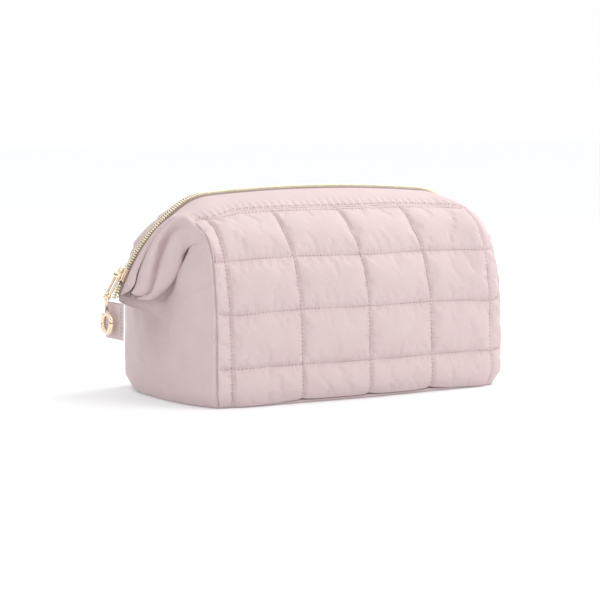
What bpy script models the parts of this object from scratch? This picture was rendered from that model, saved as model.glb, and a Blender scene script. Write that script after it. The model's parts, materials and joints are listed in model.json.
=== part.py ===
"""Quilted makeup bag with a spring-frame mouth: tub, two hinged frame halves, zipper, slider and puller.

X runs along the zipper, -Y is the front, Z is up. Lengths below are in millimetres.
Both frame halves hinge about one line along X through the two ends of the zipper.
"""

import math

import bmesh
import bpy
from mathutils import Vector

MM = 0.001
GAP = 0.3

# tub
HALF_LENGTH = 124.0
HALF_DEPTH = 75.5
CORNER_POWER = 7.0
SEAM_ANGLE = 28.4
TUB_TOP = 66.5
WALL = 3.0
LINING = 0.7
BASE_THICK = 2.9
TIP_X = 153.2

# frame halves
HINGE_Z = 70.0
FRAME_OPEN = 35.0
SHELL_HALF = 114.0
SHELL_TOP_ANGLE = 61.0
SHELL_RADIUS_TOP = 65.0
CAP_X = 115.8
WING_ANGLE = 37.0
WING_EDGE_X = 121.0
BAND_WIDTH = 30.4
BAND_THICK = 1.6
WIRE_RADIUS = 1.2
FABRIC = 1.2

# zipper path: two side arcs, two shoulder arcs and a shallow crown arc
SIDE_CENTRE_X = 37.7
SIDE_CENTRE_Z = 23.8
SIDE_RADIUS = 125.2
SHOULDER_RADIUS = 43.0
CROWN_SLOPE = 4.5
SIDE_SLOPE = 33.5
TEETH_HALF = 2.75
TEETH_THICK = 1.15

# slider and puller
SLIDER_SLOPE = 61.8
SLIDER_HALF = 4.75
EYE_AT = (-160.3, 69.5)
RING_Z = 52.3
RING_MAJOR = 5.9
RING_MINOR = 1.75

COLOURS = {
    "fabric": (0.70, 0.56, 0.57),
    "lining": (0.62, 0.48, 0.49),
    "tape": (0.66, 0.51, 0.52),
    "steel": (0.60, 0.60, 0.62),
    "teeth": (0.74, 0.66, 0.44),
    "gold": (0.83, 0.66, 0.42),
}


def clear_scene():
    for thing in list(bpy.data.objects):
        bpy.data.objects.remove(thing, do_unlink=True)


def material_for(name, kind):
    made = bpy.data.materials.new(name + "_mat")
    made.use_nodes = True
    shader = made.node_tree.nodes["Principled BSDF"]
    shader.inputs["Base Color"].default_value = (*COLOURS[kind], 1.0)
    metal = kind in ("steel", "teeth", "gold")
    shader.inputs["Metallic"].default_value = 1.0 if metal else 0.0
    shader.inputs["Roughness"].default_value = 0.25 if metal else 0.8
    return made


def add_object(name, bm, kind, origin=(0.0, 0.0, 0.0)):
    bmesh.ops.recalc_face_normals(bm, faces=bm.faces)
    if bm.calc_volume(signed=True) < 0:
        bmesh.ops.reverse_faces(bm, faces=bm.faces)
    for vert in bm.verts:
        vert.co = (vert.co - Vector(origin)) * MM
    mesh = bpy.data.meshes.new(name)
    bm.to_mesh(mesh)
    bm.free()
    made = bpy.data.objects.new(name, mesh)
    made.location = Vector(origin) * MM
    made.data.materials.append(material_for(name, kind))
    bpy.context.scene.collection.objects.link(made)
    return made


def smooth(value):
    held = min(max(value, 0.0), 1.0)
    return held * held * (3.0 - 2.0 * held)


def lerp(start, end, share):
    return start + (end - start) * share


def span(start, end, count):
    return [lerp(start, end, i / count) for i in range(count + 1)]


def polar(radius, angle):
    """A point on a cylinder about the hinge line, front side: angle is degrees above the horizontal."""
    rad = math.radians(angle)
    return -radius * math.cos(rad), HINGE_Z + radius * math.sin(rad)


# ---------------------------------------------------------------- closed solids


def slab(name, outer, inner, kind, origin=(0.0, 0.0, 0.0)):
    """A sheet with thickness: two grids of points of one size, closed along all four borders."""
    rows, cols = len(outer), len(outer[0])
    bm = bmesh.new()
    tops = [[bm.verts.new(p) for p in row] for row in outer]
    lows = [[bm.verts.new(p) for p in row] for row in inner]
    for i in range(rows - 1):
        for j in range(cols - 1):
            bm.faces.new((tops[i][j], tops[i][j + 1], tops[i + 1][j + 1], tops[i + 1][j]))
            bm.faces.new((lows[i][j], lows[i + 1][j], lows[i + 1][j + 1], lows[i][j + 1]))
    for j in range(cols - 1):
        bm.faces.new((tops[0][j], lows[0][j], lows[0][j + 1], tops[0][j + 1]))
        bm.faces.new((tops[-1][j], tops[-1][j + 1], lows[-1][j + 1], lows[-1][j]))
    for i in range(rows - 1):
        bm.faces.new((tops[i][0], tops[i + 1][0], lows[i + 1][0], lows[i][0]))
        bm.faces.new((tops[i][-1], lows[i][-1], lows[i + 1][-1], tops[i + 1][-1]))
    return add_object(name, bm, kind, origin)


def rings_solid(name, rings, kind, closed=False, origin=(0.0, 0.0, 0.0)):
    """A solid through rings of one size: capped at both ends, or joined end to end."""
    bm = bmesh.new()
    made = [[bm.verts.new(p) for p in ring] for ring in rings]
    count = len(made[0])
    pairs = list(zip(made, made[1:]))
    if closed:
        pairs.append((made[-1], made[0]))
    for low, high in pairs:
        for i in range(count):
            k = (i + 1) % count
            bm.faces.new((low[i], low[k], high[k], high[i]))
    if not closed:
        bm.faces.new(made[0])
        bm.faces.new(list(reversed(made[-1])))
    return add_object(name, bm, kind, origin)


def mirror_y(grid):
    return [[(p[0], -p[1], p[2]) for p in row] for row in grid]


def mirror_x(grid):
    return [[(-p[0], p[1], p[2]) for p in row] for row in grid]


def pushed_in(grid, depth, towards):
    """The grid moved by depth along its own normals, on the side of the point towards."""
    rows, cols = len(grid), len(grid[0])
    moved = []
    for i in range(rows):
        line = []
        for j in range(cols):
            here = Vector(grid[i][j])
            along = Vector(grid[min(i + 1, rows - 1)][j]) - Vector(grid[max(i - 1, 0)][j])
            across = Vector(grid[i][min(j + 1, cols - 1)]) - Vector(grid[i][max(j - 1, 0)])
            normal = along.cross(across).normalized()
            if normal.dot(Vector(towards) - here) < 0:
                normal = -normal
            line.append(tuple(here + normal * depth))
        moved.append(line)
    return moved


# ---------------------------------------------------------------- tub


def tub_size(z):
    """Half length and half depth of the tub's outside at a height."""
    foot = 2.6 * math.exp(-(z - BASE_THICK) / 3.0)
    length = HALF_LENGTH + 3.0 * math.sin(math.pi * min(z, 66.0) / 66.0) - foot
    depth = HALF_DEPTH - 3.0 * (z / 66.0) ** 1.5 - foot
    return length, depth


def tub_point(angle, z, inset):
    """Outline of the tub in plan at a direction, moved in by inset along its normal."""
    length, depth = tub_size(z)
    ca, sa = math.cos(math.radians(angle)), math.sin(math.radians(angle))
    n = CORNER_POWER
    reach = ((abs(ca) / length) ** n + (abs(sa) / depth) ** n) ** (-1.0 / n)
    x, y = reach * ca, reach * sa
    nx = math.copysign((abs(x) / length) ** (n - 1) / length, x)
    ny = math.copysign((abs(y) / depth) ** (n - 1) / depth, y)
    size = math.hypot(nx, ny)
    return x - inset * nx / size, y - inset * ny / size


def tub_wall(angles, heights, inset, pull=0.0):
    """Grid of wall points; pull draws the middle of an end panel out to the zipper's end."""
    grid = []
    for z in heights:
        row = []
        for angle in angles:
            x, y = tub_point(angle, z, inset)
            lift = smooth((z - 42.0) / 22.0) * math.exp(-((y / 10.0) ** 2))
            x += math.copysign(pull * lift, x)
            row.append((x, y, z))
        grid.append(row)
    return grid


def wall_panel(name, start, end, count, pull=0.0):
    low = BASE_THICK + GAP
    heights = [low, 5.0, 9.0, 25.7, 42.0, 48.0, 54.0, 60.0, TUB_TOP]
    angles = span(start, end, count)
    outer = tub_wall(angles, heights, 0.0, pull)
    inner = tub_wall(angles, heights, WALL, pull)
    slab(name, outer, inner, "fabric")


def build_tub():
    turn = 0.09
    wall_panel("front_panel_lower", 180 + SEAM_ANGLE + turn, 360 - SEAM_ANGLE - turn, 24)
    wall_panel("back_panel_lower", SEAM_ANGLE + turn, 180 - SEAM_ANGLE - turn, 24)
    pull = TIP_X - tub_size(60.0)[0]
    wall_panel("left_end_panel", 180 - SEAM_ANGLE + turn, 180 + SEAM_ANGLE - turn, 22, pull)
    wall_panel("right_end_panel", -SEAM_ANGLE + turn, SEAM_ANGLE - turn, 22, pull)
    angles = span(0, 360 - 360 / 56, 55)
    levels = [(0.0, 3.4), (0.7, 1.4), (1.8, 0.4), (BASE_THICK, 0.0)]
    rings = []
    for z, inset in levels:
        rings.append([(*tub_point(a, BASE_THICK, inset), z) for a in angles])
    rings_solid("base_panel", rings, "fabric")
    rings = []
    for z in (BASE_THICK + GAP, BASE_THICK + GAP + 1.6):
        rings.append([(*tub_point(a, BASE_THICK, WALL + 4 * GAP), z) for a in angles])
    rings_solid("base_lining", rings, "lining")
    levels = (9.0, 25.7, 42.0, 60.0)
    near, far = WALL + 4 * GAP, WALL + 4 * GAP + LINING
    loops = []
    for depth, heights in ((near, levels), (far, reversed(levels))):
        for z in heights:
            loops.append([(*tub_point(a, z, depth), z) for a in angles])
    rings_solid("wall_lining", loops, "lining", closed=True)


# ---------------------------------------------------------------- zipper path


def zip_point(slope):
    """Centre line of the closed zipper on its right half, by its slope in degrees; and its outward normal."""
    t, s0, s1 = math.radians(slope), math.radians(CROWN_SLOPE), math.radians(SIDE_SLOPE)
    join_x = SIDE_CENTRE_X + SIDE_RADIUS * math.sin(s1)
    join_z = SIDE_CENTRE_Z + SIDE_RADIUS * math.cos(s1)
    mid_x = join_x - SHOULDER_RADIUS * (math.sin(s1) - math.sin(s0))
    mid_z = join_z + SHOULDER_RADIUS * (math.cos(s0) - math.cos(s1))
    if slope >= SIDE_SLOPE:
        x = SIDE_CENTRE_X + SIDE_RADIUS * math.sin(t)
        z = SIDE_CENTRE_Z + SIDE_RADIUS * math.cos(t)
    elif slope >= CROWN_SLOPE:
        x = join_x - SHOULDER_RADIUS * (math.sin(s1) - math.sin(t))
        z = join_z + SHOULDER_RADIUS * (math.cos(t) - math.cos(s1))
    else:
        crown = mid_x / math.sin(s0)
        x = crown * math.sin(t)
        z = mid_z + crown * (math.cos(t) - math.cos(s0))
    return x, z, math.sin(t), math.cos(t)


def slopes_between(left, right):
    """Slopes from the left end of a run (negative) over the crown to its right end."""
    marks = [float(k) for k in range(34, 68, 3)] + [1.5, 3.0, 4.5, 12.0, 20.0, 28.0]
    inside = sorted([-k for k in marks] + [0.0] + marks)
    kept = [k for k in inside if left + 0.4 < k < right - 0.4]
    return [left] + kept + [right]


def zip_at(slope):
    x, z, nx, nz = zip_point(abs(slope))
    side = -1.0 if slope < 0 else 1.0
    return side * x, z, side * nx, nz


def band_point(slope, share, depth):
    """The wire channel's surface, from the chain (share 0) to its outer stitching (share 1)."""
    x, z, nx, nz = zip_at(slope)
    rise = z - HINGE_Z
    near = min(13.0, 2.9 + 0.42 * rise)
    turn = smooth((abs(x) - 96.0) / 20.0)
    width = lerp(BAND_WIDTH, near, turn)
    radius = lerp(SHELL_RADIUS_TOP - 0.2, rise, turn)
    edge = math.acos(min(width / radius, 0.99))
    edge_x = math.copysign(abs(x) - turn * 6.0 * smooth((50.0 - rise) / 45.0), x)
    edge_z = HINGE_Z + radius * math.sin(edge)
    swell = 4.0 * share * (1.0 - share) * 1.2
    px = lerp(x, edge_x, share) + nx * (swell - depth + 0.2 * (1 - share))
    pz = lerp(z, edge_z, share) + nz * (swell - depth + 0.2 * (1 - share))
    return px, -lerp(3.9, width, share), pz


def band_grid(slopes, shares, depth):
    return [[band_point(s, share, depth) for share in shares] for s in slopes]


def strip_grid(slopes, half, height):
    return [
        [(x + nx * height, -y, z + nz * height) for y in (0.15, half)]
        for x, z, nx, nz in (zip_at(s) for s in slopes)
    ]


# ---------------------------------------------------------------- frame halves


def room_at(x):
    """How far from the hinge line the upper panels may reach at x and still turn down inside the tub."""
    length, depth = tub_size(62.0)
    inset = WALL + LINING + 6 * GAP
    n = CORNER_POWER
    return (depth - inset) * (1.0 - (abs(x) / (length - inset)) ** n) ** (1.0 / n)


def shell_point(x, angle, depth):
    """Front upper panel: a cylinder about the hinge line, drawn in a little towards the top."""
    top = SHELL_RADIUS_TOP - 5.5 * smooth((abs(x) - 60.0) / 54.0)
    radius = lerp(room_at(x), top, smooth((angle - FRAME_OPEN - 1.0) / 22.0)) - depth
    y, z = polar(radius, angle)
    return x, y, z


def shell_grid(depth, half, low, high):
    return [[shell_point(x, a, depth) for x in span(-half, half, 20)] for a in span(low, high, 9)]


def wing_grid():
    """Left front gusset: an end cap that turns down inside the tub, then the fold beyond the tub's end."""
    path = [("cap", a) for a in span(-2.0, WING_ANGLE - 0.6, 4)]
    path += [("wing", share) for share in span(0.0, 1.0, 6)]
    grid = []
    for kind, value in path:
        row = []
        for part in span(0.0, 1.0, 8):
            if kind == "cap":
                radius, x, angle = lerp(4.6, 55.8, part), -CAP_X, value
            else:
                angle_top = lerp(38.2, 66.5, math.sin(part * math.pi / 2))
                angle = lerp(WING_ANGLE + 0.4, angle_top, value)
                radius = lerp(lerp(7.0, 8.5, value), lerp(57.5, 50.0, value), part)
                low_x = lerp(WING_EDGE_X, 117.5, part)
                slope = math.degrees(math.acos((HINGE_Z + radius - SIDE_CENTRE_Z) / SIDE_RADIUS))
                top_x = zip_point(slope)[0] - 3.0
                bulge = 4.0 * value * (1.0 - value) * 2.0
                x = -(lerp(low_x, top_x, value) + bulge)
            y, z = polar(radius, angle)
            row.append((x, y, z))
        grid.append(row)
    return grid


def build_frame(side, flip):
    """One frame half; flip mirrors the front half to the back."""
    put = flip if flip else (lambda grid: grid)
    panel = put(shell_grid(0.0, SHELL_HALF, -2.5, SHELL_TOP_ANGLE))
    backing = put(shell_grid(2.4, SHELL_HALF, -2.5, SHELL_TOP_ANGLE))
    slab(side + "_panel_upper", panel, backing, "fabric")
    lined = put(shell_grid(2.7, SHELL_HALF, -2.5, SHELL_TOP_ANGLE))
    behind = put(shell_grid(3.3, SHELL_HALF, -2.5, SHELL_TOP_ANGLE))
    slab(side + "_lining_upper", lined, behind, "lining")
    run = slopes_between(-61.0, 61.0)
    shares = span(0.0, 1.0, 4)
    top = put(band_grid(run, shares, 0.0))
    under = put(band_grid(run, shares, BAND_THICK))
    slab(side + "_wire_channel", top, under, "fabric")
    shares = span(0.02, 0.5, 2)
    top = put(band_grid(run, shares, BAND_THICK + GAP))
    under = put(band_grid(run, shares, BAND_THICK + GAP + 0.5))
    slab(side + "_zipper_tape", top, under, "tape")
    rings = []
    for slope in slopes_between(-60.0, 60.0):
        x, y, z = band_point(slope, 0.32, BAND_THICK + 2 * GAP + 1.0 + WIRE_RADIUS)
        nx, nz = zip_at(slope)[2:]
        ring = []
        for k in range(8):
            a = math.radians(45.0 * k)
            across, out = WIRE_RADIUS * math.cos(a), WIRE_RADIUS * math.sin(a)
            ring.append((x + nx * out, y + across, z + nz * out))
        rings.append(ring)
    rings_solid(side + "_frame_wire", put(rings), "steel")
    right_end = 67.2
    run = slopes_between(-(SLIDER_SLOPE - 2.6), right_end)
    top = put(strip_grid(run, TEETH_HALF, TEETH_THICK))
    under = put(strip_grid(run, TEETH_HALF, -TEETH_THICK))
    slab(side + "_teeth", top, under, "teeth")
    wing = wing_grid()
    inside = pushed_in(wing, FABRIC, (-60.0, -12.0, 82.0))
    slab(side + "_left_gusset", put(wing), put(inside), "fabric")
    slab(side + "_right_gusset", put(mirror_x(wing)), put(mirror_x(inside)), "fabric")


# ---------------------------------------------------------------- zipper ends, tabs, slider, puller


def chain_piece(name, start, end, kind, half=TEETH_HALF, thick=TEETH_THICK):
    run = span(start, end, 4)
    grids = []
    for height in (thick, -thick):
        rows = []
        for x, z, nx, nz in (zip_at(s) for s in run):
            rows.append([(x + nx * height, y, z + nz * height) for y in (-half, 0.0, half)])
        grids.append(rows)
    slab(name, grids[0], grids[1], kind)


def build_tab():
    """A folded strip of fabric sewn in below the left end of the zipper, facing along X."""
    half, outer, inner = 13.4, 156.0, 153.8
    levels = [(41.2, 12.6, 0.5), (42.2, 13.2, 0.0), (60.0, half, 0.0), (65.7, half - 0.6, 0.0)]
    rings = []
    for z, wide, shy in levels:
        near, far = -(inner + shy), -(outer - shy)
        rings.append([(near, -wide, z), (far, -wide, z), (far, wide, z), (near, wide, z)])
    rings_solid("left_tab", rings, "fabric")


def slider_frame(along, out):
    """Position in the slider's own directions: along the chain (up) and out from it."""
    x, z, nx, nz = zip_at(-SLIDER_SLOPE)
    return x + along * nz + out * nx, z - along * nx + out * nz


def prism(name, outline, half, kind):
    """An outline in the slider's along-out plane, pushed out to both sides in Y."""
    rings = []
    for y in (-half, half):
        rings.append([(slider_frame(a, n)[0], y, slider_frame(a, n)[1]) for a, n in outline])
    return rings_solid(name, rings, kind)


def build_slider():
    """A tube round the chain: its section runs as a closed ring, outside then inside."""
    outer = [(-4.4, 1.5), (-4.4, 2.5), (4.4, 2.5), (4.4, 1.5)]
    outer += [(3.6, 1.5), (3.6, -2.8), (-3.6, -2.8), (-3.6, 1.5)]
    inner = [(-2.95, 1.4), (-2.95, 1.5), (2.95, 1.5), (2.95, 1.4)]
    inner += [(2.95, 1.0), (2.95, -1.8), (-2.95, -1.8), (-2.95, 1.0)]
    ends = ((-SLIDER_HALF, outer), (SLIDER_HALF, outer), (SLIDER_HALF, inner), (-SLIDER_HALF, inner))
    loops = []
    for along, section in ends:
        ring = []
        for y, n in section:
            x, z = slider_frame(along, n)
            ring.append((x, y, z))
        loops.append(ring)
    rings_solid("slider_body", loops, "gold", closed=True)
    arch = [(-3.7, 2.8), (-3.7, 4.4), (-2.6, 5.8), (2.6, 5.8), (3.7, 4.4), (3.7, 2.8)]
    arch += [(2.4, 2.8), (2.4, 4.1), (1.8, 4.8), (-1.8, 4.8), (-2.4, 4.1), (-2.4, 2.8)]
    prism("slider_bridge", arch, 1.25, "gold")


def tube_loop(name, centres, radius, sides=10):
    """Round wire along a closed line."""
    count = len(centres)
    rings = []
    mean = sum((Vector(c) for c in centres), Vector()) / count
    flat = (Vector(centres[0]) - mean).cross(Vector(centres[count // 4]) - mean).normalized()
    for i in range(count):
        ahead = Vector(centres[(i + 1) % count]) - Vector(centres[i - 1])
        out = ahead.normalized().cross(flat)
        ring = []
        for k in range(sides):
            a = 2 * math.pi * k / sides
            ring.append(tuple(Vector(centres[i]) + radius * (math.cos(a) * out + math.sin(a) * flat)))
        rings.append(ring)
    return rings_solid(name, rings, "gold", closed=True)


def link_pivot():
    x, z = slider_frame(0.0, 3.75)
    return Vector((x, 0.0, z))


def build_link():
    """A long wire loop from under the bridge to the puller's eye."""
    top = link_pivot()
    low = Vector((EYE_AT[0], 0.0, EYE_AT[1]))
    down = (low - top).normalized()
    length = (low - top).length
    half, bend = 2.7, 1.6
    centres = []
    for base, side in ((length - bend, 1.0), (bend, -1.0)):
        for quarter in range(2):
            sign = side if quarter == 0 else -side
            for k in range(4):
                a = math.radians(90.0 * quarter + 30.0 * k)
                if quarter == 1 and k == 0:
                    continue
                y = sign * (half - bend) + side * bend * math.cos(a)
                centres.append(tuple(top + down * (base + side * bend * math.sin(a)) + Vector((0, y, 0))))
    centres = [c for i, c in enumerate(centres) if Vector(c) != Vector(centres[i - 1])]
    tube_loop("pull_link", centres, 0.75)


def ring_mesh(name, centre, major, minor, plane, count=28, sides=10):
    centres = []
    for i in range(count):
        a = 2 * math.pi * i / count
        u, w = major * math.cos(a), major * math.sin(a)
        shift = (u, 0.0, w) if plane == "xz" else (0.0, u, w)
        centres.append(tuple(Vector(centre) + Vector(shift)))
    return tube_loop(name, centres, minor, sides)


def build_puller():
    """Ring pull: a round ring facing along X, a neck and a small eye on the link's lower bar."""
    x, z = EYE_AT
    ring = ring_mesh("pull_ring", (x, 0.0, RING_Z), RING_MAJOR, RING_MINOR, "yz")
    eye = ring_mesh("eye_cutter", (x, 0.0, z), 2.1, 0.7, "xz", 16, 8)
    low, high = RING_Z + RING_MAJOR, z - 2.1
    rings = []
    for level, radius in ((low, 1.1), (lerp(low, high, 0.5), 0.85), (high, 0.75)):
        circle = [2 * math.pi * k / 10 + 0.1 for k in range(10)]
        rings.append([(x + radius * math.cos(a), radius * math.sin(a), level) for a in circle])
    neck = rings_solid("neck_cutter", rings, "gold")
    for other in (neck, eye):
        join = ring.modifiers.new("join", "BOOLEAN")
        join.operation = "UNION"
        join.solver = "EXACT"
        join.object = other
        other.hide_render = True
        other.display_type = "WIRE"


def main():
    clear_scene()
    build_tub()
    build_frame("front", None)
    build_frame("back", mirror_y)
    chain_piece("left_chain_end", -69.0, -(SLIDER_SLOPE + 2.7), "teeth")
    chain_piece("right_chain_stop", 68.6, 69.6, "teeth", 3.2, 1.4)
    build_tab()
    build_slider()
    build_link()
    build_puller()


main()
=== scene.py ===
"""Looks of the quilted makeup bag: padded shell, folded gussets, zipper, puller and studio.

Lengths are in millimetres until a mesh is made, X runs along the zipper and -Y is the front.
Front pieces are made first; the back ones are the same shapes turned half a turn about Z.
"""

import json
import math

import bmesh
import bpy
import numpy as np
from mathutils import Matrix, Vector, noise


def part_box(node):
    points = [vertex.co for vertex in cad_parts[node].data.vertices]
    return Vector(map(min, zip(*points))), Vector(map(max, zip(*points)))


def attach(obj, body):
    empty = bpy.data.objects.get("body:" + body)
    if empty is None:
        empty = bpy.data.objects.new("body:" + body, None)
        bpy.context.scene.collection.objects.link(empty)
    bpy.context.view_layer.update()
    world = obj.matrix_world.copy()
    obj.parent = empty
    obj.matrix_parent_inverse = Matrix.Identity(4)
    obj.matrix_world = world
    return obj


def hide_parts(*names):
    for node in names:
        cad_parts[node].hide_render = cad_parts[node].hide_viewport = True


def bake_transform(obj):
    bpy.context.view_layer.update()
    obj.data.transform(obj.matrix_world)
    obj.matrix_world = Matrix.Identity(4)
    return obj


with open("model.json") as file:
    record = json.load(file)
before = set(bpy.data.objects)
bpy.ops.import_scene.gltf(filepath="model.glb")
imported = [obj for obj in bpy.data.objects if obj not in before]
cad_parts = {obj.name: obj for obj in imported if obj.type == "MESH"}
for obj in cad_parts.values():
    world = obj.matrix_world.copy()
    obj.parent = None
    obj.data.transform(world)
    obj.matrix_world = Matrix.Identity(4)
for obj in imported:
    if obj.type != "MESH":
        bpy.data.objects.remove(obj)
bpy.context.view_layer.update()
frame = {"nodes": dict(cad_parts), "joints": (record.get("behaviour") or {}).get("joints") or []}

MM = 0.001

# ---------------------------------------------------------------- places read from the frame


def node_box(name):
    """Lowest and highest corner of a CAD node, in millimetres."""
    low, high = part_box(name)
    return np.array(low) / MM, np.array(high) / MM


def joint_anchor(name):
    found = next(j for j in frame["joints"] if j["name"] == name)
    return np.array(found["pos_m"]) / MM


SIDE_CENTRE = -joint_anchor("slider_travel")[0], joint_anchor("slider_travel")[2]
LINK_PIVOT = joint_anchor("link_swing")
RING_EYE = joint_anchor("ring_swing")
BASE_TOP = node_box("base_panel")[1][2]
TEETH_BOX = node_box("front_teeth")
TEETH_HALF = -TEETH_BOX[0][1]

# ---------------------------------------------------------------- curves


def smooth(value):
    held = np.clip(value, 0.0, 1.0)
    return held * held * (3.0 - 2.0 * held)


def lerp(start, end, share):
    return start + (end - start) * share


def through(marks, values, at):
    """Smooth curve through values at marks, read at each number in at."""
    marks, values, at = (np.asarray(a, float) for a in (marks, values, at))
    shape = (-1,) + (1,) * (values.ndim - 1)
    step = np.diff(marks).reshape(shape)
    slope = np.diff(values, axis=0) / step
    lean = np.empty_like(values)
    lean[0], lean[-1] = slope[0], slope[-1]
    lean[1:-1] = (slope[:-1] * step[1:] + slope[1:] * step[:-1]) / (step[:-1] + step[1:])
    i = np.clip(np.searchsorted(marks, at, side="right") - 1, 0, len(marks) - 2)
    h = step[i]
    f = (at.reshape(shape) - marks[i].reshape(shape)) / h
    start = values[i] * (2 * f**3 - 3 * f**2 + 1) + lean[i] * h * (f**3 - 2 * f**2 + f)
    return start + values[i + 1] * (3 * f**2 - 2 * f**3) + lean[i + 1] * h * (f**3 - f**2)


def spaced(marks, step):
    """Numbers from the first mark to the last that hit every mark, about a step apart."""
    runs = []
    for low, high in zip(marks, marks[1:]):
        count = max(1, round((high - low) / step))
        runs.append(np.linspace(low, high, count, endpoint=False))
    return np.append(np.concatenate(runs), marks[-1])


def ripple(points, scale, seed=0.0):
    """Smooth noise from -1 to 1 at points of any grid shape."""
    flat = np.asarray(points, float).reshape(-1, 3) / scale + seed
    made = np.array([noise.noise(Vector(p)) for p in flat])
    return made.reshape(np.asarray(points).shape[:-1])


def normals_of(grid):
    """Unit normals of a grid of points [rows, columns, xyz], outward for rows up and columns to +X."""
    along = np.gradient(grid, axis=0)
    across = np.gradient(grid, axis=1)
    made = np.cross(across, along)
    return made / np.maximum(np.linalg.norm(made, axis=2, keepdims=True), 1e-9)


# ---------------------------------------------------------------- zipper line

SIDE_RADIUS = 125.2
SHOULDER_RADIUS = 43.0
CROWN_SLOPE = 4.5
SIDE_SLOPE = 33.5


def zip_line(slope):
    """Centre line of the closed zipper by slope in degrees, negative on the left: x, z and normal."""
    slope = np.asarray(slope, float)
    t, s0, s1 = np.radians(np.abs(slope)), math.radians(CROWN_SLOPE), math.radians(SIDE_SLOPE)
    join_x = SIDE_CENTRE[0] + SIDE_RADIUS * math.sin(s1)
    join_z = SIDE_CENTRE[1] + SIDE_RADIUS * math.cos(s1)
    mid_x = join_x - SHOULDER_RADIUS * (math.sin(s1) - math.sin(s0))
    mid_z = join_z + SHOULDER_RADIUS * (math.cos(s0) - math.cos(s1))
    crown = mid_x / math.sin(s0)
    side = t >= s1
    shoulder = (t >= s0) & ~side
    x = np.where(side, SIDE_CENTRE[0] + SIDE_RADIUS * np.sin(t), crown * np.sin(t))
    z = np.where(side, SIDE_CENTRE[1] + SIDE_RADIUS * np.cos(t), mid_z + crown * (np.cos(t) - math.cos(s0)))
    x = np.where(shoulder, join_x - SHOULDER_RADIUS * (math.sin(s1) - np.sin(t)), x)
    z = np.where(shoulder, join_z + SHOULDER_RADIUS * (np.cos(t) - math.cos(s1)), z)
    sign = np.where(slope < 0, -1.0, 1.0)
    return sign * x, z, sign * np.sin(t), np.cos(t)


ALL_SLOPES = np.linspace(-70.0, 70.0, 2801)
_x, _z, _, _ = zip_line(ALL_SLOPES)
ALL_LENGTHS = np.append(0.0, np.cumsum(np.hypot(np.diff(_x), np.diff(_z))))


def slope_at(length):
    """Slope of the zipper line at a length along it."""
    return np.interp(length, ALL_LENGTHS, ALL_SLOPES)


def length_at(slope):
    return np.interp(slope, ALL_SLOPES, ALL_LENGTHS)


def zip_place(slope, along, out, y):
    """A point given from the zipper line: along it, out from it and across it."""
    x, z, nx, nz = zip_line(slope)
    parts = np.broadcast_arrays(x + along * nz + out * nx, y, z - along * nx + out * nz)
    return np.stack(parts, -1)


# ---------------------------------------------------------------- quilted panel

LEFT_X, RIGHT_X = -118.0, 115.0
SECTION_X = (LEFT_X, -105.0, -80.0, -52.0, 0.0, 52.0, 80.0, 105.0, RIGHT_X)
# Each section runs from the base seam to the band: (depth in front of the zipper, height).
LEFT_SEAM = (
    (66, 2.9), (68, 8), (68.3, 26), (68, 62), (67.2, 71),
    (65.9, 82.5), (63.6, 95), (53, 111.8), (26, 122.5),
)
NEAR_END = (
    (67.5, 2.9), (69.3, 8), (69.7, 25.4), (67.8, 60), (67.2, 70),
    (65.4, 80), (61.5, 94.9), (49.8, 113.6), (35.5, 122.2),
)
SHOULDER = (
    (70, 2.9), (71.7, 8), (71.6, 25.7), (69.8, 61.1), (68.7, 70.6),
    (66.3, 80), (61.1, 95.8), (47.8, 113.9), (29.8, 126.2),
)
MIDWAY = (
    (71.3, 2.9), (73, 8), (72.8, 25.9), (71, 61.8), (69.6, 71),
    (66.9, 80), (60.8, 96.3), (47, 113.9), (30.3, 127.3),
)
CENTRE = (
    (73.4, 2.9), (75.2, 8), (74.8, 25.7), (73, 61.5), (71.5, 72),
    (69, 82), (62.8, 95.8), (48, 114.3), (30, 127.3),
)
RIGHT_END = (*NEAR_END[:-1], (33, 124))
RIGHT_SEAM = (
    (62, 2.9), (63.3, 8), (63.5, 26), (62.5, 62), (61, 71),
    (58.5, 82.5), (53.5, 95), (40, 111.8), (22, 121),
)
SECTIONS = np.array(
    [LEFT_SEAM, NEAR_END, SHOULDER, MIDWAY, CENTRE, MIDWAY, SHOULDER, RIGHT_END, RIGHT_SEAM], float
)
_chords = np.linalg.norm(np.diff(np.array(CENTRE, float), axis=0), axis=1)
MARKS = np.append(0.0, np.cumsum(_chords))
PANEL_LENGTH = MARKS[-1]

QUILT_PITCH = 51.8
QUILT_COLUMNS = [-106.3 + k * QUILT_PITCH for k in range(5)]
QUILT_ROWS = [MARKS[2], MARKS[3], MARKS[6]]
TOP_ROW = PANEL_LENGTH - 3.4
VALLEY = 1.5
STITCH = 2.8
SEAM_DEEP = 1.9
SEAM_WIDE = 1.0
SEAM_DRAW = 0.5


def foot_tuck(z):
    """How far the corners draw in near the base."""
    return 2.8 * smooth((11.0 - z) / 9.5)


def foot_curl(grid):
    """The lower edge drawn down and in, over the rim of the base."""
    low = smooth((8.0 - grid[..., 2]) / 5.1)[..., None]
    drop = lerp(0.3, 2.1, smooth((np.abs(grid[..., :1]) - 50.0) / 55.0))
    return grid * (1.0 - low * np.array([0.010, 0.016, 0.0])) - low * drop * np.array([0.0, 0.0, 1.0])


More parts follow.
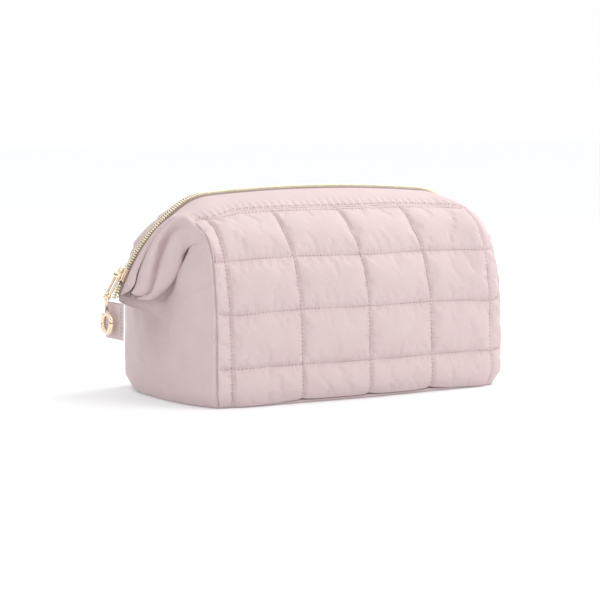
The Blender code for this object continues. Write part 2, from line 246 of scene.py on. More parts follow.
def panel_points(xs, heights):
    """Smooth outside of the front panel: grid over lengths up from the base seam and x."""
    sides = np.stack([through(MARKS, section, heights) for section in SECTIONS])
    flat = through(SECTION_X, sides, xs)
    grid = np.empty((len(heights), len(xs), 3))
    grid[:, :, 0] = xs[None, :]
    grid[:, :, 1] = -flat[:, :, 0].T
    grid[:, :, 2] = flat[:, :, 1].T
    near_seam = smooth((np.abs(xs) - 96.0) / 20.0) * np.sign(xs)
    grid[:, :, 1] += SEAM_DRAW * foot_tuck(grid[:, :, 2]) * np.abs(near_seam)[None, :]
    grid[:, :, 0] -= foot_tuck(grid[:, :, 2]) * near_seam[None, :]
    return foot_curl(grid)


def line_distance(values, lines):
    """Distance of each value to the nearest of the lines."""
    return np.min(np.abs(np.subtract.outer(values, np.array(lines))), axis=-1)


def puffed(xs, heights, grid):
    dx = line_distance(xs, QUILT_COLUMNS)
    dh = line_distance(heights, QUILT_ROWS + [TOP_ROW, PANEL_LENGTH])
    rise = np.minimum.outer(dh, dx)
    height = (1.0 - np.exp(-rise / 4.0)) * (VALLEY + 0.3) - VALLEY
    inside = smooth(np.minimum(xs - LEFT_X, RIGHT_X - xs) / 7.0)[None, :]
    return grid + normals_of(grid) * lerp(-0.4, height, inside)[:, :, None]


SIM_SCALE = 0.01
SIM_FRAMES = 26


def simulate_padding(name, grid, pinned, pressure, grow):
    """Cloth with spare length, held along its stitches and filled from behind; returns the settled grid."""
    rows, cols = grid.shape[:2]
    mesh = bpy.data.meshes.new(name)
    mesh.from_pydata((grid.reshape(-1, 3) * SIM_SCALE).tolist(), [], grid_faces(rows, cols))
    cloth = bpy.data.objects.new(name, mesh)
    bpy.context.scene.collection.objects.link(cloth)
    held = cloth.vertex_groups.new(name="held")
    held.add([int(i) for i in np.flatnonzero(pinned.ravel())], 1.0, "REPLACE")
    cloth_mod = cloth.modifiers.new("cloth", "CLOTH")
    settings = cloth_mod.settings
    settings.quality = 6
    settings.mass = 0.25
    settings.tension_stiffness = settings.compression_stiffness = 12.0
    settings.shear_stiffness = 6.0
    settings.bending_stiffness = 0.25
    settings.air_damping = 3.0
    settings.vertex_group_mass = "held"
    settings.use_pressure = True
    settings.uniform_pressure_force = pressure
    settings.shrink_min = -grow
    settings.effector_weights.gravity = 0.0
    cloth_mod.collision_settings.use_collision = False
    cloth_mod.point_cache.frame_end = SIM_FRAMES
    scene = bpy.context.scene
    for step in range(1, SIM_FRAMES + 1):
        scene.frame_set(step)
    settled = cloth.evaluated_get(bpy.context.evaluated_depsgraph_get()).data
    found = np.empty(rows * cols * 3)
    settled.vertices.foreach_get("co", found)
    scene.frame_set(1)
    bpy.data.objects.remove(cloth)
    bpy.data.meshes.remove(mesh)
    return found.reshape(rows, cols, 3) / SIM_SCALE


def grid_faces(rows, cols):
    """Faces of a grid whose rows go up and columns go to +X, facing the front."""
    faces = []
    for i in range(rows - 1):
        for j in range(cols - 1):
            a = i * cols + j
            faces.append((a, a + 1, a + cols + 1, a + cols))
    return faces


def kept_near(moved, start, most):
    """Moved points, no further than most from where they started."""
    shift = moved - start
    far = np.linalg.norm(shift, axis=2, keepdims=True)
    return start + shift * np.minimum(1.0, most / np.maximum(far, 1e-9))


def stitched_relief(xs, heights):
    """Grooves and gathers that the thread pulls into the panel, as a height over the grid."""
    relief = np.zeros((len(heights), len(xs)))
    rows = QUILT_ROWS + [TOP_ROW, PANEL_LENGTH - 0.4]
    for k, line in enumerate(QUILT_COLUMNS):
        near = np.exp(-(((xs - line) / 1.1) ** 2))
        wide = np.exp(-(((xs - line) / 2.6) ** 2))
        gather = np.cos(2 * math.pi * heights / STITCH + k)
        relief += -0.35 * near[None, :] + 0.26 * gather[:, None] * wide[None, :]
    for k, line in enumerate(rows):
        near = np.exp(-(((heights - line) / 1.1) ** 2))
        wide = np.exp(-(((heights - line) / 2.6) ** 2))
        gather = np.cos(2 * math.pi * xs / STITCH + 2 * k)
        relief += -0.35 * near[:, None] + 0.26 * gather[None, :] * wide[:, None]
    return relief


def long_gathers(xs, heights):
    """Short wrinkles that run away from each stitch line, uneven along it."""
    relief = np.zeros((len(heights), len(xs)))
    for k, line in enumerate(QUILT_COLUMNS):
        points = np.stack([heights, heights * 0 + 11.0 * k, heights * 0], -1)
        reach = np.exp(-(np.abs(xs - line) / 6.0))
        relief += 0.4 * ripple(points, 4.2)[:, None] * reach[None, :]
    for k, line in enumerate(QUILT_ROWS + [TOP_ROW]):
        points = np.stack([xs, xs * 0 + 17.0 * k, xs * 0 + 5.0], -1)
        reach = np.exp(-(np.abs(heights - line) / 6.0))
        relief += 0.4 * ripple(points, 4.2)[None, :] * reach[:, None]
    return relief


def quilted_grid(seed):
    """The front panel's finished outside, fine enough to hold the stitches' gathers."""
    x_marks = [LEFT_X] + QUILT_COLUMNS + [RIGHT_X]
    h_marks = [0.0] + QUILT_ROWS + [TOP_ROW, PANEL_LENGTH]
    xs, heights = spaced(x_marks, 2.6), spaced(h_marks, 2.6)
    smooth_side = panel_points(xs, heights)
    start = puffed(xs, heights, smooth_side)
    start += normals_of(smooth_side) * (0.5 * ripple(smooth_side, 13.0, seed))[:, :, None]
    grid = start
    held = (line_distance(heights, h_marks) < 0.01)[:, None] | (line_distance(xs, x_marks) < 0.01)[None, :]
    grid = kept_near(simulate_padding("padding", start, held, 1.6, 0.022), start, 4.0)
    fine_x, fine_h = spaced(x_marks, 0.8), spaced(h_marks, 0.8)
    grid = through(heights, grid, fine_h)
    grid = through(xs, grid.transpose(1, 0, 2), fine_x).transpose(1, 0, 2)
    relief = stitched_relief(fine_x, fine_h) + long_gathers(fine_x, fine_h)
    fade = smooth(fine_h / 4.0)[:, None] * smooth(np.minimum(fine_x - LEFT_X, RIGHT_X - fine_x) / 7.0)
    grid = grid + normals_of(grid) * (relief * fade)[:, :, None]
    for edge, inward in ((LEFT_X, 1.0), (RIGHT_X, -1.0)):
        tuck = SEAM_DEEP * np.exp(-(((fine_x - edge) / SEAM_WIDE) ** 2))[None, :]
        grid = grid + np.stack([inward * tuck, tuck, 0 * tuck], -1)
    return fine_x, fine_h, grid


# ---------------------------------------------------------------- meshes and finish


def turned(points):
    """The same points half a turn about Z: front to back."""
    return points * np.array([-1.0, -1.0, 1.0])


def new_object(name, verts, faces, material, uv=None):
    mesh = bpy.data.meshes.new(name)
    mesh.from_pydata((np.asarray(verts, float).reshape(-1, 3) * MM).tolist(), [], faces)
    if uv is not None:
        layer = mesh.uv_layers.new(name="cloth")
        corner = np.empty(len(mesh.loops), np.int32)
        mesh.loops.foreach_get("vertex_index", corner)
        layer.data.foreach_set("uv", (np.asarray(uv).reshape(-1, 2) * MM)[corner].astype(np.float32).ravel())
    mesh.materials.append(material)
    mesh.shade_smooth()
    made = bpy.data.objects.new(name, mesh)
    bpy.context.scene.collection.objects.link(made)
    return made


def sheet_object(name, grid, material, thick=0.0, uv=None):
    """A grid of points as cloth; with a thickness it gets a back and closed edges."""
    rows, cols = grid.shape[:2]
    if uv is None:
        up = np.append(0.0, np.cumsum(np.linalg.norm(np.diff(grid[:, cols // 2], axis=0), axis=1)))
        wide = np.append(0.0, np.cumsum(np.linalg.norm(np.diff(grid[rows // 2], axis=0), axis=1)))
        uv = np.stack(np.broadcast_arrays(wide[None, :], up[:, None]), -1)
    made = new_object(name, grid, grid_faces(rows, cols), material, uv)
    used = np.empty(len(made.data.loops), np.int32)
    made.data.loops.foreach_get("edge_index", used)
    rim = made.data.attributes.new("sharp_edge", "BOOLEAN", "EDGE")
    rim.data.foreach_set("value", np.bincount(used, minlength=len(made.data.edges)) == 1)
    if thick:
        solid = made.modifiers.new("thickness", "SOLIDIFY")
        solid.thickness = thick * MM
        solid.offset = -1.0
    return made


def dashes_object(name, lines, material, length=1.95, gap=0.85, radius=0.24):
    """Thread along lines: (points, normals) pairs become rows of separate sewn stitches."""
    verts, faces = [], []
    profile = ((-0.5, 0.35), (-0.36, 0.9), (0.0, 1.0), (0.36, 0.9), (0.5, 0.35))
    sides = 6
    for points, normals in lines:
        run = np.append(0.0, np.cumsum(np.linalg.norm(np.diff(points, axis=0), axis=1)))
        count = int(run[-1] // (length + gap))
        for k in range(count):
            middle = (k + 0.5) * (length + gap)
            base = len(verts)
            here = np.array([np.interp(middle, run, points[:, c]) for c in range(3)])
            ahead = np.array([np.interp(middle + 0.5, run, points[:, c]) for c in range(3)]) - here
            ahead /= max(np.linalg.norm(ahead), 1e-9)
            up = np.array([np.interp(middle, run, normals[:, c]) for c in range(3)])
            up /= max(np.linalg.norm(up), 1e-9)
            side = np.cross(ahead, up)
            for share, wide in profile:
                lift = 0.18 - 0.9 * abs(share) ** 2
                centre = here + ahead * share * length + up * lift
                for s in range(sides):
                    a = 2 * math.pi * s / sides
                    verts.append(centre + radius * wide * (math.cos(a) * side + math.sin(a) * up))
            for ring in range(len(profile) - 1):
                for s in range(sides):
                    a, b = base + ring * sides + s, base + ring * sides + (s + 1) % sides
                    faces.append((a, b, b + sides, a + sides))
            faces.append(tuple(base + s for s in reversed(range(sides))))
            faces.append(tuple(base + (len(profile) - 1) * sides + s for s in range(sides)))
    return new_object(name, verts, faces, material)


def rings_object(name, rings, material, closed=False):
    """A surface through rings of one size, capped unless its ends meet."""
    count = len(rings[0])
    verts = [p for ring in rings for p in ring]
    faces = []
    for i in range(len(rings) if closed else len(rings) - 1):
        k = (i + 1) % len(rings)
        for s in range(count):
            n = (s + 1) % count
            faces.append((i * count + s, i * count + n, k * count + n, k * count + s))
    if not closed:
        faces.append(tuple(reversed(range(count))))
        faces.append(tuple((len(rings) - 1) * count + s for s in range(count)))
    return new_object(name, verts, faces, material)


def tidy_normals(made):
    bm = bmesh.new()
    bm.from_mesh(made.data)
    bmesh.ops.recalc_face_normals(bm, faces=bm.faces)
    bm.to_mesh(made.data)
    bm.free()
    return made


# ---------------------------------------------------------------- materials


def add_node(tree, kind, **values):
    node = tree.nodes.new(kind)
    for key, value in values.items():
        if key in node.inputs:
            node.inputs[key].default_value = value
        else:
            setattr(node, key, value)
    return node


def plain_material(name):
    made = bpy.data.materials.new(name)
    made.use_nodes = True
    return made, made.node_tree, made.node_tree.nodes["Principled BSDF"]


def mixed_colour(tree, shader, factor, dark, light):
    ramp = tree.nodes.new("ShaderNodeValToRGB")
    ramp.color_ramp.elements[0].color = (*dark, 1.0)
    ramp.color_ramp.elements[1].color = (*light, 1.0)
    ramp.color_ramp.elements[0].position = 0.25
    ramp.color_ramp.elements[1].position = 0.75
    tree.links.new(factor, ramp.inputs["Fac"])
    tree.links.new(ramp.outputs["Color"], shader.inputs["Base Color"])


def cloth_material(name, dark, light, sheen=0.25, weave=0.55):
    """Brushed microfibre: fine weave, faint slubs and a soft sheen. The weave follows the cloth map."""
    made, tree, shader = plain_material(name)
    place = add_node(tree, "ShaderNodeUVMap", uv_map="cloth")
    shade = add_node(tree, "ShaderNodeTexNoise", Scale=55.0, Detail=3.0)
    tree.links.new(place.outputs["UV"], shade.inputs["Vector"])
    mixed_colour(tree, shader, shade.outputs["Fac"], dark, light)
    heights = []
    for direction in ("X", "Y"):
        wave = add_node(tree, "ShaderNodeTexWave", Scale=230.0, Distortion=1.2, bands_direction=direction)
        wave.inputs["Detail Scale"].default_value = 3.0
        tree.links.new(place.outputs["UV"], wave.inputs["Vector"])
        heights.append(wave.outputs["Fac"])
    threads = add_node(tree, "ShaderNodeMath", operation="MULTIPLY")
    tree.links.new(heights[0], threads.inputs[0])
    tree.links.new(heights[1], threads.inputs[1])
    stretch = add_node(tree, "ShaderNodeMapping")
    stretch.inputs["Scale"].default_value = (260.0, 1100.0, 1.0)
    slub = add_node(tree, "ShaderNodeTexNoise", Scale=1.0, Detail=2.0)
    tree.links.new(place.outputs["UV"], stretch.inputs["Vector"])
    tree.links.new(stretch.outputs["Vector"], slub.inputs["Vector"])
    both = add_node(tree, "ShaderNodeMath", operation="ADD")
    tree.links.new(threads.outputs["Value"], both.inputs[0])
    tree.links.new(slub.outputs["Fac"], both.inputs[1])
    bump = add_node(tree, "ShaderNodeBump", Strength=weave, Distance=0.00018)
    tree.links.new(both.outputs["Value"], bump.inputs["Height"])
    tree.links.new(bump.outputs["Normal"], shader.inputs["Normal"])
    rough = add_node(tree, "ShaderNodeMapRange")
    rough.inputs["To Min"].default_value = 0.68
    rough.inputs["To Max"].default_value = 0.86
    tree.links.new(slub.outputs["Fac"], rough.inputs["Value"])
    tree.links.new(rough.outputs["Result"], shader.inputs["Roughness"])
    shader.inputs["Sheen Weight"].default_value = sheen
    shader.inputs["Sheen Roughness"].default_value = 0.4
    shader.inputs["Sheen Tint"].default_value = (1.0, 0.93, 0.93, 1.0)
    shader.inputs["Specular IOR Level"].default_value = 0.25
    return made


def thread_material(name, dark, light):
    """Twisted polyester thread."""
    made, tree, shader = plain_material(name)
    place = add_node(tree, "ShaderNodeTexCoord")
    twist = add_node(tree, "ShaderNodeTexNoise", Scale=900.0, Detail=1.0)
    tree.links.new(place.outputs["Object"], twist.inputs["Vector"])
    mixed_colour(tree, shader, twist.outputs["Fac"], dark, light)
    bump = add_node(tree, "ShaderNodeBump", Strength=0.4, Distance=0.0001)
    tree.links.new(twist.outputs["Fac"], bump.inputs["Height"])
    tree.links.new(bump.outputs["Normal"], shader.inputs["Normal"])
    shader.inputs["Roughness"].default_value = 0.6
    shader.inputs["Sheen Weight"].default_value = 0.15
    return made


def metal_material(name, dark, light, low, high, scale=260.0):
    """Plated metal with faint cloudiness and small scratches in its polish."""
    made, tree, shader = plain_material(name)
    place = add_node(tree, "ShaderNodeTexCoord")
    cloud = add_node(tree, "ShaderNodeTexNoise", Scale=scale, Detail=4.0)
    tree.links.new(place.outputs["Object"], cloud.inputs["Vector"])
    mixed_colour(tree, shader, cloud.outputs["Fac"], dark, light)
    rough = add_node(tree, "ShaderNodeMapRange")
    rough.inputs["To Min"].default_value = low
    rough.inputs["To Max"].default_value = high
    tree.links.new(cloud.outputs["Fac"], rough.inputs["Value"])
    tree.links.new(rough.outputs["Result"], shader.inputs["Roughness"])
    bump = add_node(tree, "ShaderNodeBump", Strength=0.08, Distance=0.0001)
    tree.links.new(cloud.outputs["Fac"], bump.inputs["Height"])
    tree.links.new(bump.outputs["Normal"], shader.inputs["Normal"])
    shader.inputs["Metallic"].default_value = 1.0
    return made


FABRIC = cloth_material("shell_cloth", (0.598, 0.472, 0.476), (0.630, 0.507, 0.509))
LINING = cloth_material("lining_cloth", (0.520, 0.410, 0.418), (0.560, 0.450, 0.456), 0.1, 0.35)
# The zipper tape is coloured dark brown as painted shade where it shows between the band and the chain.
TAPE_PAINTED_SHADE = cloth_material("tape_cloth_painted_shade", (0.300, 0.225, 0.215), (0.360, 0.270, 0.260), 0.1, 0.9)
# A real thread in the teeth's groove, coloured dark olive brown as painted shade in that groove.
CHAIN_THREAD_PAINTED_SHADE = thread_material("chain_thread_painted_shade", (0.20, 0.16, 0.09), (0.28, 0.23, 0.14))
# Sewing thread: its own colour is a slightly darker pink, and it is darkened further as painted shade of the
# needle holes along each stitch row.
THREAD_WITH_HOLE_SHADE = thread_material("sewing_thread_hole_shade", (0.40, 0.285, 0.295), (0.50, 0.37, 0.38))
TEETH = metal_material("teeth_plating", (0.84, 0.77, 0.56), (0.97, 0.92, 0.75), 0.14, 0.26)
GOLD = metal_material("puller_plating", (0.82, 0.67, 0.48), (0.93, 0.80, 0.64), 0.05, 0.13, 120.0)
STEEL = metal_material("spring_steel_wire", (0.45, 0.45, 0.47), (0.60, 0.60, 0.62), 0.25, 0.4)


# ---------------------------------------------------------------- placing pieces

SIDES = ("front", "back")


def behind_zipper(points, side):
    """Cloth at the back left drawn in below its lump, so that it lies behind the zipper from the left front."""
    if side == "front":
        return points
    z = points[..., 2]
    rise = np.clip((z - SIDE_CENTRE[1]) / SIDE_RADIUS, -1.0, 1.0)
    chain_x = SIDE_CENTRE[0] + SIDE_RADIUS * np.sqrt(1.0 - rise**2)
    beyond = -points[..., 0] + 0.633 * points[..., 1] - chain_x
    held = 1.5 * np.log1p(np.exp(np.clip(beyond / 1.5, -20.0, 20.0)))
    moved = points.copy()
    moved[..., 0] += held * smooth((104.0 - z) / 10.0) * (points[..., 0] < 0)
    return moved


def on_side(points, side):
    """Points of a front piece put on its side. The back left corner is slumped a little."""
    if side == "front":
        return points
    placed = turned(points)
    corner = smooth((-placed[..., 0] - 85.0) / 30.0) * smooth((placed[..., 1] - 8.0) / 16.0)
    slump = corner * smooth((placed[..., 2] - 92.0) / 22.0)
    placed[..., 2] -= 7.0 * slump
    placed[..., 0] += 4.0 * slump
    return placed


def name_on(side, left, what):
    """The name of a piece made for the front left or right, once it is put on its side."""
    here = left if side == "front" else not left
    return f"{side}_{'left' if here else 'right'}_{what}"


def bends(piece):
    """Cloth whose placement is baked into its own mesh; it is tied to no body and does not lean with a frame
    half.
    """
    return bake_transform(piece)


def rides(piece, body):
    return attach(piece, body)


# ---------------------------------------------------------------- quilted panels, their thread and lining


def grid_line(grid, normals, row=None, col=None, skip=3):
    if row is not None:
        return grid[row, skip:-skip], normals[row, skip:-skip]
    return grid[skip:-skip, col], normals[skip:-skip, col]


def build_panel(side):
    xs, heights, grid = quilted_grid(0.0 if side == "front" else 31.0)
    uv = np.stack(np.broadcast_arrays(xs[None, :], heights[:, None]), -1)
    panel = sheet_object(side + "_quilted_panel", on_side(grid, side), FABRIC, 0.6, uv)
    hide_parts(side + "_panel_lower", side + "_panel_upper")
    bends(panel)
    normals = normals_of(grid)
    lines = []
    for line in QUILT_COLUMNS:
        lines.append(grid_line(grid, normals, col=int(np.argmin(np.abs(xs - line)))))
    for line in QUILT_ROWS + [TOP_ROW]:
        lines.append(grid_line(grid, normals, row=int(np.argmin(np.abs(heights - line)))))
    lines = [(on_side(p, side), on_side(n, side)) for p, n in lines]
    bends(dashes_object(side + "_quilt_thread", lines, THREAD_WITH_HOLE_SHADE))
    rough_x, rough_h = np.linspace(LEFT_X + 4, RIGHT_X - 4, 60), np.linspace(1.5, PANEL_LENGTH, 44)
    inner = panel_points(rough_x, rough_h)
    inner = inner - normals_of(inner) * 4.2
    inner += normals_of(inner) * (0.7 * ripple(inner, 22.0, 7.0))[:, :, None]
    lining = sheet_object(side + "_lining", on_side(inner[:, ::-1], side), LINING, 0.4)
    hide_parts(side + "_lining_upper", "wall_lining")
    bends(lining)


# ---------------------------------------------------------------- band that holds the wire

EDGE_SLOPES = (0, 4.5, 20, 29, 33.5, 38, 41, 45, 51, 55, 60, 64, 66.5, 67.8)
EDGE_WIDTH = (31, 32.3, 34.8, 34, 31, 24, 17.5, 13.6, 11, 11, 11.5, 12.3, 9.5, 5.0)
EDGE_OUT = (-12, -11.2, -10, -8, -5.5, -1.5, 0, 0, -0.8, -1.5, -2.5, -3.5, -2.5, -1.5)
BAND_END = 67.8
RIGHT_DROOP = 6.0


def band_edge(slopes):
    """Lower edge of the band: along the top of the quilted panel, then down beside the zipper."""
    steep = np.abs(slopes)
    x, _, _, _ = zip_line(slopes)
    rows = panel_points(
        np.clip(x, LEFT_X + 0.5, RIGHT_X - 0.5), np.array([PANEL_LENGTH - 2.0, PANEL_LENGTH - 0.6])
    )
    on_panel = rows[1] - normals_of(rows)[1] * (VALLEY + 0.25)
    droop = RIGHT_DROOP * smooth((slopes - 34.0) / 7.0) * smooth((66.0 - slopes) / 10.0)
    out = through(EDGE_SLOPES, EDGE_OUT, steep) - droop
    beside = zip_place(slopes, 0.0, out, -through(EDGE_SLOPES, EDGE_WIDTH, steep))
    share = smooth((steep - 38.0) / 4.5)[:, None]
    return lerp(on_panel, beside, share)


def band_grid(slopes, shares):
    """The band from the zipper (share 0) over its padded back to its lower edge (share 1)."""
    edge = band_edge(slopes)
    top = zip_place(slopes, 0.0, -1.2, -3.8)
    x, _, nx, nz = zip_line(slopes)
    out = np.stack([nx, 0 * nx - 0.35, nz], -1)
    out /= np.linalg.norm(out, axis=1, keepdims=True)
    steep = np.abs(slopes)
    bulge = lerp(1.9, 3.0 - 0.3 * RIGHT_DROOP * (slopes > 0), smooth((steep - 30) / 20.0))
    bulge = bulge * smooth((BAND_END + 0.6 - steep) / 5.0)
    grid = []
    for share in shares:
        rise = 4.0 * share * (1.0 - share) * (1.0 + 0.5 * (share - 0.5)) * bulge
        sink = -2.2 * smooth((0.035 - share) / 0.035)
        grid.append(lerp(top, edge, share) + out * (rise + sink)[:, None])
    return np.array(grid)


def build_band(side):
    slopes = slope_at(np.arange(length_at(-BAND_END), length_at(BAND_END), 1.0))
    shares = np.concatenate([[0.0, 0.012, 0.03], np.linspace(0.06, 0.86, 22), np.linspace(0.88, 1.0, 7)])
    grid = band_grid(slopes, shares)
    lengths = length_at(slopes)
    flat = smooth((40.0 - np.abs(slopes)) / 8.0)
    gather = np.cos(2 * math.pi * lengths / (2 * STITCH)) + 0.8 * ripple(
        np.stack([lengths, lengths * 0, lengths * 0], -1), 5.0
    )
    near_seam = smooth((shares - 0.55) / 0.4)
    near_seam = near_seam * smooth((1.0 - shares) / 0.05)
    relief = 0.4 * near_seam[:, None] * (gather * flat)[None, :]
    relief += 0.35 * ripple(grid, 16.0, 3.0) * np.sin(math.pi * np.clip(shares, 0, 1))[:, None]
    up = normals_of(grid[::-1])[::-1]
    grid = grid + up * relief[:, :, None]
    band = sheet_object(side + "_wire_band", behind_zipper(on_side(grid[::-1], side), side), FABRIC, 0.7)
    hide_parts(side + "_wire_channel")
    rides(band, side + "_frame")
    sewn = np.abs(slopes) < 35.5
    row = int(np.argmin(np.abs(shares - 0.94)))
    thread = [(on_side(grid[row, sewn], side), on_side(up[row, sewn], side))]
    rides(dashes_object(side + "_band_thread", thread, THREAD_WITH_HOLE_SHADE), side + "_frame")
    inner = band_grid(slopes[::4], np.linspace(0.04, 1.0, 14))
    drop = normals_of(inner[::-1])[::-1] * 7.0
    lining = sheet_object(side + "_band_lining", on_side(inner - drop, side), LINING, 0.4)
    rides(lining, side + "_frame")


# ---------------------------------------------------------------- end panels

SEAM_DEPTH = {"sharp": LEFT_SEAM, "round": RIGHT_SEAM}
END_BULGE = {"sharp": (118.0, 9.5, 2.6), "round": (115.0, 12.5, 2.3)}
TIP_PULL = node_box("left_end_panel")[0][0] + 128.4


def seam_at(kind, heights):
    return through(MARKS, np.array(SEAM_DEPTH[kind], float), heights)


def end_x(kind, y, z):
    """How far out the end panel stands at a depth y in front of the middle, and a height."""
    seam_x, bulge, power = END_BULGE[kind]
    seam = np.array(SEAM_DEPTH[kind], float)
    wide = np.interp(z, seam[:, 1], seam[:, 0]) - SEAM_DRAW * foot_tuck(z)
    share = np.clip(np.abs(y) / wide, 0.0, 1.0)
    slack = 1.0 - 0.88 * smooth((z - 84.0) / 22.0)
    foot = 1.0 - 0.25 * np.exp(-(z - BASE_TOP) / 3.0)
    drawn = -TIP_PULL * smooth((z - 55.0) / 12.0) * np.exp(-((y / 8.0) ** 2)) * smooth((96.0 - z) / 20.0)
    corner = foot_tuck(z) * smooth((np.abs(y) - 34.0) / 26.0)
    return seam_x - corner + bulge * (1.0 - share**power) * slack * foot + drawn


def end_half(kind):
    """Left front half of an end panel, from its seam with the quilted panel to the middle of the end."""
    heights = np.linspace(0.0, PANEL_LENGTH, 130)
    seam = seam_at(kind, heights)
    across = np.linspace(0.0, 1.0, 74) ** 1.15
    grid = np.empty((len(heights), len(across), 3))
    for j, share in enumerate(across):
        inner_y = 24.0 * smooth((seam[:, 1] - 66.0) / 34.0)
        y = lerp(seam[:, 0] - SEAM_DRAW * foot_tuck(seam[:, 1]), inner_y, share)
        z = seam[:, 1] - share * 4.0 * smooth((seam[:, 1] - 100.0) / 20.0)
        grid[:, j] = np.stack([-end_x(kind, y, z), -y, z], -1)
    return heights, across, foot_curl(grid)


def fold(points, start, end, width, height):
    """A soft ridge (or valley, if height is negative) along a segment in the panel's Y and Z."""
    a, b = np.array(start, float), np.array(end, float)
    run = b - a
    flat = points[..., 1:] - a
    share = np.clip((flat @ run) / (run @ run), 0.0, 1.0)
    away = np.linalg.norm(flat - share[..., None] * run, axis=-1)
    return height * np.exp(-((away / width) ** 2)) * np.sin(math.pi * np.clip(share, 0.04, 0.96)) ** 0.6


END_FOLDS = (
    ((-67, 84), (-48, 76), 2.2, -0.7),
    ((-67, 76), (-42, 70), 2.6, 0.7),
    ((-67, 66), (-46, 64), 2.4, -0.6),
    ((-30, 66), (-22, 30), 6.0, 0.9),
    ((-18, 62), (-27, 34), 5.0, -1.1),
    ((-40, 60), (-52, 22), 9.0, 0.8),
    ((-58, 104), (-38, 100), 3.0, 0.8),
    ((-56, 110), (-34, 107), 2.2, -0.8),
    ((-33, 108), (-31, 92), 2.2, -3.6),
    ((-31, 96), (-25, 77), 2.8, -2.0),
    ((-27, 80), (-12, 66), 3.2, -1.6),
)


def build_end(side, left):
    """One half of an end panel. The front left half is sharp at its seam, the front right one is rounder."""
    kind = "sharp" if left else "round"
    heights, across, grid = end_half(kind)
    relief = 0.8 * ripple(grid, 24.0, 5.0 if left else 9.0) + 0.25 * ripple(grid, 7.0, 2.0)
    stretched = grid * np.array([1.0, 0.35, 1.0])
    relief += 0.45 * ripple(stretched, 4.5, 3.0) * np.exp(-across / 0.16)[None, :]
    for start, end, width, height in END_FOLDS:
        relief = relief + fold(grid, start, end, width, height)
    edge = (
        smooth(across / 0.05)[None, :]
        * smooth((1.0 - across) / 0.3)[None, :]
        * smooth(heights / 5.0)[:, None]
    )
    up = -normals_of(grid)
    grid = grid + up * (relief * edge)[:, :, None]
    from_seam = np.linalg.norm(grid - grid[:, :1], axis=2)
    tuck = SEAM_DEEP * np.exp(-((from_seam / SEAM_WIDE) ** 2))
    grid = grid + np.stack([tuck, tuck, 0 * tuck], -1)
    rows_out = grid if left else grid * np.array([-1.0, 1.0, 1.0])
    rows_out = rows_out[:, ::-1] if left else rows_out
    panel = sheet_object(name_on(side, left, "end_panel"), on_side(rows_out, side), FABRIC, 0.6)
    here = "left" if left == (side == "front") else "right"
    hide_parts(here + "_end_panel")
    bends(panel)
    inner = end_half(kind)[2][::3, ::3]
    inner = inner + normals_of(inner) * 3.6
    inner = inner if left else inner * np.array([-1.0, 1.0, 1.0])
    inner = inner if left else inner[:, ::-1]
    lining = sheet_object(name_on(side, left, "end_lining"), on_side(inner, side), LINING, 0.4)
    bends(lining)


# ---------------------------------------------------------------- folded gussets beside the zipper

FOLD_MARKS = (0.0, 0.14, 0.3, 0.46, 0.62, 0.78, 0.9, 1.0)
BAND_LINE = (
    (-115, -25, 122), (-118.5, -19, 120), (-124, -13.5, 114), (-131, -11.5, 106),
    (-137, -10.8, 96), (-142, -11.3, 85.5), (-145, -12, 77), (-147.5, -11, 72),
)
CREASE = (
    (-117.8, -41, 117.6), (-120.5, -27, 115.5), (-125, -19.5, 109), (-129.5, -18.3, 99),
    (-133.5, -19.5, 88.5), (-136.5, -20.5, 80), (-138.5, -19.5, 73.5), (-141, -15, 70.5),
)
HEM = (
    (-117.8, -57.5, 106.8), (-119.3, -42, 106), (-120.8, -31, 100), (-124, -30, 90.5),
    (-127.5, -27, 81.5), (-132, -22, 74), (-136.5, -16.5, 69.2), (-142, -10.5, 69.2),
)


def gusset_grid():
    """Left front gusset: two soft rolls of spare cloth from under the band to a tucked hem."""
    along = np.linspace(0.0, 1.0, 90)
    top, mid, hem = (through(FOLD_MARKS, line, along) for line in (BAND_LINE, CREASE, HEM))
    out = lerp(np.array([-0.50, -0.52, 0.69]), np.array([-0.70, -0.70, -0.10]), smooth(along * 1.1)[:, None])
    out /= np.linalg.norm(out, axis=1, keepdims=True)
    full = (np.sin(math.pi * np.clip(along, 0.0, 1.0)) ** 0.6)[:, None]
    first = lerp(top, mid, 0.5) + out * (0.4 + 3.6 * full)
    second = lerp(mid, hem, 0.52) + out * (0.4 + 5.4 * full * smooth(along / 0.3)[:, None])
    held = smooth((along - 0.19) / 0.12)[:, None]
    lines = [
        top - out * 3.0 + (top - mid) * 0.15,
        top + out * 0.1,
        first,
        mid - out * (0.3 + 1.6 * full),
        second,
        hem + out * (-0.6 + 3.1 * held) + (hem - mid) * 0.10 * held,
        hem + out * (-1.2 + 1.4 * held) + (hem - mid) * 0.09 * held,
        hem - out * (2.2 + 3.4 * held) + (mid - hem) * 0.3,
    ]
    marks = (0.0, 0.07, 0.25, 0.44, 0.68, 0.88, 0.94, 1.0)
    across = np.linspace(0.0, 1.0, 84)
    grid = through(marks, np.array(lines), across).transpose(1, 0, 2)
    from_seam = np.linalg.norm(grid - grid[:1], axis=2)
    tuck = 1.3 * SEAM_DEEP * np.exp(-((from_seam / SEAM_WIDE) ** 2))
    return along, across, grid + np.stack([tuck, tuck, 0 * tuck], -1)


def fitted_to_round_end(grid):
    """The same folds drawn in where they meet the rounder end's seam."""
    sharp, rounder = np.array(LEFT_SEAM, float), np.array(RIGHT_SEAM, float)
    z = grid[:, :, 2]
    ratio = np.interp(z, rounder[:, 1], rounder[:, 0]) / np.interp(z, sharp[:, 1], sharp[:, 0])
    near = smooth((132.0 + grid[:, :, 0]) / 14.0)
    fitted = grid.copy()
    fitted[:, :, 1] *= lerp(1.0, ratio, near)
    fitted[:, :, 0] += (RIGHT_X + LEFT_X) * -near
    return fitted


